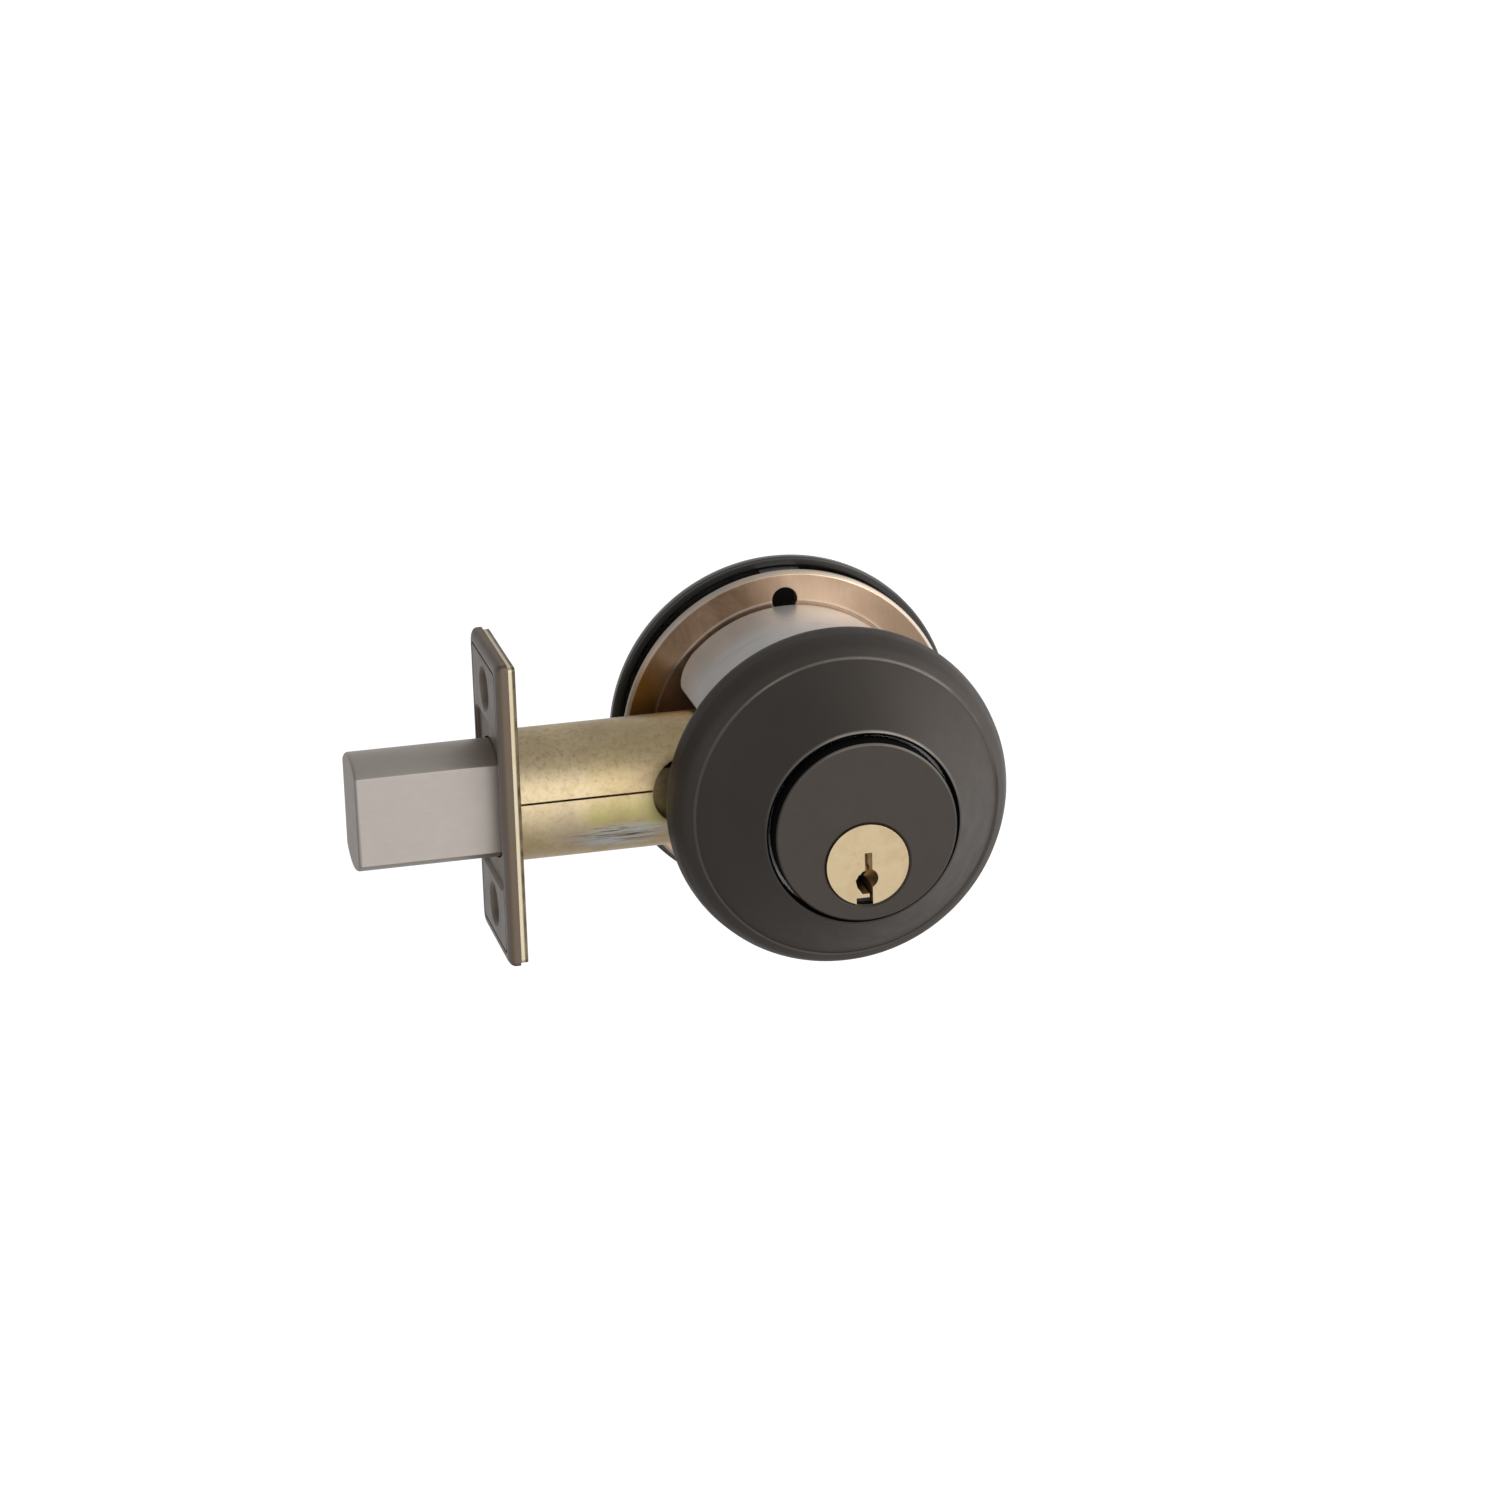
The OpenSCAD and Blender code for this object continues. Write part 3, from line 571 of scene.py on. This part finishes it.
def turned_brass(name, centre_z):
    """Brass faced on a lathe: fine rings about the plug's axis, and a little tarnish."""
    f = Finish(name, metallic=1.0)
    ring = f.node("ShaderNodeCombineXYZ")
    f.link(f.radius(centre_z), ring.inputs[0])
    grooves = f.noise(9000, 2, 0.6, place=ring.outputs[0])
    tarnish = f.noise(240, 5, 0.6, distortion=0.6)
    base = f.ramp(tarnish, [(0.25, (0.66, 0.50, 0.30)), (0.5, (0.76, 0.60, 0.37)),
                            (0.8, (0.80, 0.65, 0.42))])
    f.colour(f.shaded_by(base, grooves, 0.25))
    f.roughness(f.ramp(f.noise(500, 4), [(0.3, 0.34), (0.7, 0.44)]))
    f.bump((grooves, 0.002), (f.noise(900, 3), 0.002), round_edges=0.12)
    return f.material


def cast_metal(name, tones, rough):
    """Die-cast zinc: dull, with flow marks and a faint orange peel."""
    f = Finish(name, metallic=0.65)
    flow = f.noise(55, 6, 0.6, place=f.stretched((1, 2.2, 1)), distortion=1.6)
    base = f.ramp(flow, tones)
    specks = f.noise(1900, 3, 0.7)
    base = f.mix(f.ramp(specks, [(0.62, 0.0), (0.8, 0.25)]), base, (0.32, 0.31, 0.29))
    f.colour(base)
    f.roughness(f.ramp(f.noise(220, 5), [(0.3, rough[0]), (0.7, rough[1])]))
    f.bump((f.noise(500, 3), 0.006), (specks, 0.002), round_edges=0.25)
    return f.material


def moulded(name, tones, rough):
    """Moulded plastic with a fine grain."""
    f = Finish(name, metallic=0.0, specular=0.45)
    f.colour(f.ramp(f.noise(130, 4), tones))
    f.roughness(f.ramp(f.noise(400, 3), [(0.3, rough[0]), (0.7, rough[1])]))
    f.bump((f.noise(3200, 2), 0.004), round_edges=0.15)
    return f.material


def paper_white(name):
    """Studio floor: even and pale, and lit a little from within so that it stays white."""
    f = Finish(name, metallic=0.0, specular=0.1)
    f.colour(f.ramp(f.noise(3, 3), [(0.3, (0.93, 0.93, 0.93)), (0.7, (0.95, 0.95, 0.95))]))
    f.roughness(f.ramp(f.noise(20, 2), [(0.3, 0.8), (0.7, 0.9)]))
    f.shader.inputs["Emission Color"].default_value = (1, 1, 1, 1)
    f.shader.inputs["Emission Strength"].default_value = 0.55
    return f.material


PLUG_Z = middle_z("key_plug")
PLATE_X = mm_box("faceplate")[0].x

looks = {
    # The collar: painted highlight rings on its crease and its mouth's rim, and painted shade in
    # its mouth
    "oil_rubbed_bronze": bronze("oil_rubbed_bronze", (0.074, 0.063, 0.055),
                                (0.090, 0.078, 0.069), (0.40, 0.36, 0.32), 0.2,
                                lines=((27.95, 0.18), (17.95, 0.2)), gap=(17.72, -1)),
    # The faceplate: its lightened edges also paint a highlight along the recess's lip
    "faceplate_bronze": bronze("faceplate_bronze", (0.235, 0.202, 0.180),
                               (0.300, 0.262, 0.236), (0.52, 0.43, 0.35), 0.5,
                               # Painted shade in its hollows, and behind its front face on the
                               # rolled rim, recess floor and countersinks
                               rough=(0.34, 0.46), hollow_shade=0.8,
                               behind=(PLATE_X + 0.2, PLATE_X + 0.7, (0.190, 0.145, 0.108))),
    "plug_brass": turned_brass("plug_brass", PLUG_Z),
    "zinc_dichromate": dichromate("zinc_dichromate"),
    "copper_dichromate": patinated_plate("copper_dichromate", mm_box("mounting_plate")[1].x,
                                         mm_box("cylinder_housing")[1].x + 0.7),
    "backing_gold": backing_gold("backing_gold", mm_box("backing_plate")[0].x,
                                 mm_box("backing_plate")[1].x),
    "die_cast_zinc": cast_metal(
        "die_cast_zinc",
        [(0.3, (0.62, 0.63, 0.63)), (0.6, (0.70, 0.71, 0.71)), (0.8, (0.65, 0.66, 0.66))],
        rough=(0.36, 0.46)),
    "bolt_nickel": plated(
        "bolt_nickel",
        [(0.2, (0.565, 0.51, 0.465)), (0.8, (0.62, 0.565, 0.515))],
        rough=(0.42, 0.48), grain_along=(0.3, 1, 1), streak=0.15),
    "plain_steel": plated(
        "plain_steel",
        [(0.3, (0.46, 0.46, 0.46)), (0.7, (0.58, 0.58, 0.57))],
        rough=(0.28, 0.42), grain_along=(0.2, 0.2, 1)),
    "spring_steel": plated(
        "spring_steel", [(0.3, (0.38, 0.40, 0.43)), (0.7, (0.52, 0.53, 0.54))], rough=(0.2, 0.3)),
    "hardened_steel": plated(
        "hardened_steel", [(0.3, (0.26, 0.26, 0.28)), (0.7, (0.38, 0.37, 0.37))],
        rough=(0.3, 0.4)),
    "pin_nickel": plated(
        "pin_nickel", [(0.3, (0.64, 0.60, 0.50)), (0.7, (0.78, 0.75, 0.68))], rough=(0.15, 0.25)),
    "strip_brass": plated(
        "strip_brass", [(0.3, (0.62, 0.46, 0.22)), (0.7, (0.76, 0.60, 0.34))], rough=(0.22, 0.34)),
    "black_trim": bronze("black_trim", (0.022, 0.021, 0.019), (0.034, 0.032, 0.029),
                         (0.16, 0.15, 0.14), 0.35, rough=(0.30, 0.40), metallic=0.2,
                         coat=0.7),
    "guide_acetal": moulded("guide_acetal", [(0.3, (0.025, 0.025, 0.025)),
                                             (0.7, (0.040, 0.040, 0.040))], (0.4, 0.55)),
    "bushing_nylon": moulded("bushing_nylon", [(0.3, (0.66, 0.64, 0.58)),
                                               (0.7, (0.74, 0.72, 0.67))], (0.45, 0.6)),
}
for part in frame["record"]["subparts"]:
    mesh = nodes[part["node"]].data
    mesh.materials.clear()
    mesh.materials.append(looks[part["material_slot"]])

# The cylinder shares the collar's slot, but has its own painted highlight ring and painted shade
# on its sides
cylinder_look = bronze("cylinder_bronze", (0.073, 0.063, 0.055), (0.080, 0.069, 0.061),
                       (0.34, 0.30, 0.26), 0.0, walls=(0.010, 0.009, 0.008),
                       lines=((16.3, 0.2),), gap=(16.45, 1))
nodes["cylinder_body"].data.materials[0] = cylinder_look


# ---------------------------------------------------------------- collar

def make_collar():
    low, high = mm_box("collar")
    door, depth = high.y, high.y - low.y
    base = high.x
    mouth, bore, step = 17.7, 17.25, 16.6
    # (radius, height above the door, rounding): rim, dome, crease, cone, mouth, inside
    corners = [
        (26, 0, 0.2), (base, 0, 0.4), (base, 1.3, 3.0),
        (base - 0.35, 3.8, 5.0), (base - 1.5, 6.6, 5.0),
        (base - 3.2, 8.40, 0.25), (base - 3.6, 8.31, 0.06), (base - 3.8, 8.49, 0.05),
        (18, depth - 0.12, 0.3), (mouth, depth, 0.12), (bore, depth - 0.25, 0.3),
        (bore, step, 0.15), (19.55, step, 0.15), (19.55, 9, 0.5), (23.5, 7.5, 1), (26, 5, 1)]
    outline = fillet([corner[:2] for corner in corners], [corner[2] for corner in corners])
    piece = lathe("collar_ring", [(r, door - h) for r, h in outline], segments=ROUND_SEGMENTS)
    finish_piece(piece, "security_collar", "oil_rubbed_bronze", "collar")


make_collar()


# ---------------------------------------------------------------- faceplate and backing

def screw_holes():
    """The radius of the plates' two screw holes, and their heights."""
    dims = frame_mount("faceplate_screws")["dims"]
    return dims["hole_r_mm"], [side * dims["spacing_y_mm"] / 2 for side in (-1, 1)]


def make_faceplate():
    low, high = mm_box("faceplate")
    width, height = high.y - low.y, high.z - low.z
    front, back = low.x, high.x
    hole_r, hole_heights = screw_holes()
    roll, corner, steps = 1.25, 0.9, 6
    lip, sunk, sunk_height, sunk_corner = 1.9, 0.7, 30.6, 3.2
    line_wide, line_deep = 0.45, 0.3
    sink_r, sink_deep, above = 4.3, 1.8, 0.4
    inner_width, inner_height = width - 2 * lip, height - 2 * lip

    # The plate's rolled rim: rings that step inwards as they rise to the front face
    rings = [at_x(x, rectangle(width, height, corner)) for x in (back, front + roll)]
    for k in range(1, steps + 1):
        turn = math.pi / 2 * k / steps
        inset = roll * (1 - math.cos(turn))
        rings.append(at_x(front + roll - roll * math.sin(turn),
                          rectangle(width - 2 * inset, height - 2 * inset, corner + 0.2 * k)))
    plate = loft("faceplate_trim", rings)

    # The bolt's window, and the stamped recess around it with its sloping walls
    tools = [prism("window", flat_sided(11.15, 7.3), front - 2, back + 2)]
    mouth = rectangle(inner_width, sunk_height, sunk_corner, 10)
    floor = rectangle(inner_width - 0.5, sunk_height - 1.0, sunk_corner, 10)
    tools.append(loft("recess", [at_x(front - 1, mouth), at_x(front - 0.01, mouth),
                                 at_x(front + sunk, floor)]))

    # The pressed line that runs just inside the lip
    line = prism("line", rectangle(inner_width, inner_height, 1.0), front - 1, front + line_deep)
    cut(line, [prism("line_in", rectangle(inner_width - 2 * line_wide,
                                          inner_height - 2 * line_wide, 0.8),
                     front - 2, front + 1)])
    tools.append(line)

    for z in hole_heights:
        tools.append(prism("hole", circle(hole_r, 0, z), front - 2, back + 2))
        tools.append(loft("sink", [at_x(front - above, circle(sink_r + above, 0, z)),
                                   at_x(front, circle(sink_r, 0, z)),
                                   at_x(front + sink_deep, circle(hole_r - 0.1, 0, z))]))
    cut(plate, tools)
    soften(plate, 0.14, 2)
    finish_piece(plate, "lock_case", "faceplate_bronze", "faceplate")


def make_backing():
    low, high = mm_box("backing_plate")
    plate = prism("backing_trim", rectangle(high.y - low.y, high.z - low.z, 0.8),
                  low.x, high.x)
    hole_r, hole_heights = screw_holes()
    openings = [flat_sided(10.95, 7.1)] + [circle(hole_r, 0, z) for z in hole_heights]
    cut(plate, [prism("opening", opening, low.x - 2, high.x + 2) for opening in openings])
    soften(plate, 0.45, 4)
    finish_piece(plate, "lock_case", "backing_gold", "backing_plate")


make_faceplate()
make_backing()


# ---------------------------------------------------------------- bolt

def make_bolt():
    low, high = mm_box("bolt")
    radius, half = high.z, high.y
    tip, tail = low.x, high.x
    nose, blunt, steps = 0.6, 0.85, 8
    slot_half, slot_low, slot_high, slot_start = 1.55, -6.1, 8.1, -56
    roller_r, roller_end = 3.1, -55
    rivet_r, rivet_x, rivet_heights = 1.55, -52.3, (-3.5, 5)

    # The nose's rounded edge, then the bar
    rings = []
    for k in range(steps + 1):
        turn = math.pi / 2 * k / steps
        inset = nose * (1 - math.sin(turn)) * blunt
        rings.append(at_x(tip + nose * (1 - math.cos(turn)),
                          flat_sided(radius - inset, half - inset)))
    rings.append(at_x(tail, flat_sided(radius, half)))
    bolt = loft("bolt_bar", rings)

    slot = [(-slot_half, slot_low), (slot_half, slot_low), (slot_half, slot_high),
            (-slot_half, slot_high)]
    tools = [prism("slot", slot, slot_start, tail + 2),
             prism("bore", circle(roller_r), tip + 4, roller_end)]
    for z in rivet_heights:
        tools.append(prism("rivet_hole", circle(rivet_r, rivet_x, z, 32), -12, 12, "Y"))
    cut(bolt, tools)
    soften(bolt, 0.18, 2, 25)
    finish_piece(bolt, "deadbolt", "bolt_nickel", "bolt")


make_bolt()


# ---------------------------------------------------------------- rose and thumbturn

def make_rose():
    low, high = mm_box("rose")
    door = frame_mount("inside_door_face")["pos_m"][1] / MM
    rim, back = low.y - door, high.y - door
    outer, wall = high.x, 1.6
    inner = outer - wall
    centre, bushing_hole_r = 0.5, 6.5
    # (radius, height above the door's inside face, rounding): outside, rim, inside
    corners = [
        (centre, back, 0), (outer - 5, back, 4), (outer - 2.2, back - 1.1, 4),
        (outer - 0.6, back - 3, 4), (outer, back - 5, 3), (outer, rim, 0.45), (inner, rim, 0.3),
        (inner, back - 4.7, 2), (inner - 1.8, back - 2.7, 2), (outer - 5.6, back - wall, 3),
        (centre, back - wall, 0)]
    outline = fillet([corner[:2] for corner in corners], [corner[2] for corner in corners])
    rose = lathe("rose_cover", [(r, door + h) for r, h in outline], segments=ROUND_SEGMENTS)
    bore = circle(bushing_hole_r, 0, middle_z("spindle_bushing"), 96)
    cut(rose, [prism("bore", bore, door, door + back + 4, "Y")])
    soften(rose, 0.12, 2, 40)
    finish_piece(rose, "lock_case", "black_trim", "rose")


def oval(half_length, half_thick, corner):
    """An outline about the origin: an ellipse for corner 1, squarer as corner falls to 0."""
    power = 2 + 5 * (1 - corner)
    count = 96
    out = []
    for k in range(count):
        t = 2 * math.pi * k / count
        c, s = math.cos(t), math.sin(t)
        u = half_length * math.copysign(abs(c) ** (2 / power), c)
        v = half_thick * math.copysign(abs(s) ** (2 / power), s)
        out.append((u, v))
    return out


def smooth(t):
    """Eases from 0 to 1 as t does, and stays level outside."""
    t = min(max(t, 0.0), 1.0)
    return t * t * (3 - 2 * t)


def make_thumbturn():
    low, high = mm_box("thumbturn")
    base, half = low.y, high.x
    height = high.y - base
    foot, neck = 3.3, 9.5            # height of the round foot, and its radius at the top
    round_top, thick_top = 1.6, 3.9  # rounding of the grip's end, and its half thickness
    grip_steps, top_steps = 24, 7
    spindle_r, spindle_deep = 4.55, 3.2
    pin_r, pin_y = 1.05, 1.6
    rings = []

    def ring(y, a, b, corner):
        rings.append([(u, base + y, PLUG_Z + v) for u, v in oval(a, b, corner)])

    for y, r in ((0, 9.6), (0.12, 9.85), (0.4, 10.0), (2.4, 10.0), (2.9, 9.85), (foot, neck)):
        ring(y, r, r, 1.0)

    # From the foot the grip widens along X and thins along Z
    for k in range(1, grip_steps + 1):
        y = foot + (height - foot - round_top) * k / grip_steps
        rise = smooth((y - foot) / 9.5)
        shrink = smooth((y - foot) / 3.2)
        a = (neck - 1.3 * smooth((y - foot) / 2.0)) * (1 - rise) + half * rise
        b = neck * (1 - shrink) + (3.35 + 0.55 * smooth((y - 9) / 9)) * shrink
        ring(y, a, b, 1.0 - 0.55 * shrink)
    for k in range(1, top_steps + 1):
        turn = math.pi / 2 * k / top_steps
        inset = round_top * (1 - math.cos(turn))
        ring(height - round_top + round_top * math.sin(turn), half - inset, thick_top - inset,
             0.45)
    grip = loft("thumbturn_grip", rings)

    spindle = prism("spindle", circle(spindle_r, 0, PLUG_Z), base - 1, base + spindle_deep, "Y")
    pin = prism("pin", [(base + pin_y + p, PLUG_Z + q) for p, q in circle(pin_r, segments=32)],
                -13, 13)
    cut(grip, [spindle, pin])
    soften(grip, 0.12, 2, 45)
    finish_piece(grip, "turn", "black_trim", "thumbturn")


make_rose()
make_thumbturn()


# ---------------------------------------------------------------- studio

def make_floor():
    """A pale disc under the lock, in metres; it isn't seen in the metal's reflections."""
    drop, radius, segments = -0.11, 9.0, 96
    mesh = bpy.data.meshes.new("studio_floor")
    work = bmesh.new()
    bmesh.ops.create_circle(work, cap_ends=True, radius=radius, segments=segments)
    work.to_mesh(mesh)
    work.free()
    floor = bpy.data.objects.new("studio_floor", mesh)
    floor.location.z = drop
    scene.collection.objects.link(floor)
    mesh.materials.append(paper_white("studio_floor"))
    floor.visible_glossy = False


def soft_light(name, place, size, power):
    """A square white lamp that faces the lock; place and size in metres, power in watts."""
    data = bpy.data.lights.new(name, "AREA")
    data.shape = "SQUARE"
    data.size = size
    data.energy = power
    lamp = bpy.data.objects.new(name, data)
    lamp.location = place
    lamp.rotation_euler = (-Vector(place)).to_track_quat("-Z", "Y").to_euler()
    scene.collection.objects.link(lamp)


def make_sky():
    """A studio tent: bright in front and to the right, dimmer overhead, behind and to the left."""
    world = bpy.data.worlds.new("studio")
    world.use_nodes = True
    tree = world.node_tree
    back = tree.nodes["Background"]
    place = tree.nodes.new("ShaderNodeTexCoord")
    split = tree.nodes.new("ShaderNodeSeparateXYZ")
    tree.links.new(place.outputs["Generated"], split.inputs[0])

    def ramp(axis, stops):
        """Grey by direction: stops are (share of the view along the axis, grey)."""
        spread = tree.nodes.new("ShaderNodeMapRange")
        spread.inputs["From Min"].default_value = -1
        tree.links.new(split.outputs[axis], spread.inputs["Value"])
        made = tree.nodes.new("ShaderNodeValToRGB")
        while len(made.color_ramp.elements) < len(stops):
            made.color_ramp.elements.new(0.5)
        for element, (position, grey) in zip(made.color_ramp.elements, stops):
            element.position = (position + 1) / 2
            element.color = (grey, grey, grey, 1)
        tree.links.new(spread.outputs["Result"], made.inputs["Fac"])
        return made.outputs["Color"]

    def blend(kind, factor, a, b):
        made = tree.nodes.new("ShaderNodeMix")
        made.data_type, made.blend_type = "RGBA", kind
        for socket, value in ((made.inputs[0], factor), (made.inputs[6], a), (made.inputs[7], b)):
            if isinstance(value, float):
                socket.default_value = value
            else:
                tree.links.new(value, socket)
        return made.outputs[2]

    # By height, in front of the lock and behind it; the two meet beside it
    ahead = ramp(2, ((-1.0, 0.34), (-0.6, 0.62), (-0.25, 0.95), (0.3, 1.15), (0.6, 0.75),
                     (0.85, 0.40), (1.0, 0.36)))
    behind = ramp(2, ((-1.0, 0.34), (-0.4, 0.62), (0.0, 0.62), (0.3, 0.50), (1.0, 0.36)))
    level = blend("MIX", ramp(1, ((-0.35, 0.0), (0.3, 1.0))), ahead, behind)
    # Brighter towards the right
    side = ramp(0, ((-1.0, 0.35), (-0.5, 0.68), (-0.1, 0.94), (0.3, 1.05), (0.55, 1.2),
                    (0.8, 1.6), (1.0, 1.7)))
    tree.links.new(blend("MULTIPLY", 1.0, level, side), back.inputs["Color"])
    back.inputs["Strength"].default_value = 1.0
    scene.world = world


def make_camera():
    """The photograph's view, fitted to it: from the front, a little to the left and above."""
    azimuth, elevation, roll = (math.radians(a) for a in (13.056, 18.891, -1.769))
    distance, aside_right, aside_up = 900.0, 11.31, -2.309
    sensor, focal, far = 36, 117.5, 100
    right = Vector((math.cos(azimuth), -math.sin(azimuth), 0))
    back = Vector((-math.sin(azimuth) * math.cos(elevation),
                   -math.cos(azimuth) * math.cos(elevation), math.sin(elevation)))
    up = back.cross(right)
    right, up = (right * math.cos(roll) + up * math.sin(roll),
                 up * math.cos(roll) - right * math.sin(roll))
    place = back * distance - right * aside_right - up * aside_up
    data = bpy.data.cameras.new("camera")
    data.sensor_width = sensor
    data.lens = focal
    data.clip_end = far
    camera = bpy.data.objects.new("camera", data)
    turn = Matrix((right, up, back)).transposed()
    camera.matrix_world = Matrix.Translation(place * MM) @ turn.to_4x4()
    scene.collection.objects.link(camera)
    scene.camera = camera


make_floor()
make_sky()
soft_light("key", (1.3, -1.3, 0.9), 0.8, 8)
make_camera()
scene.view_settings.view_transform = "Standard"
scene.view_settings.look = "None"
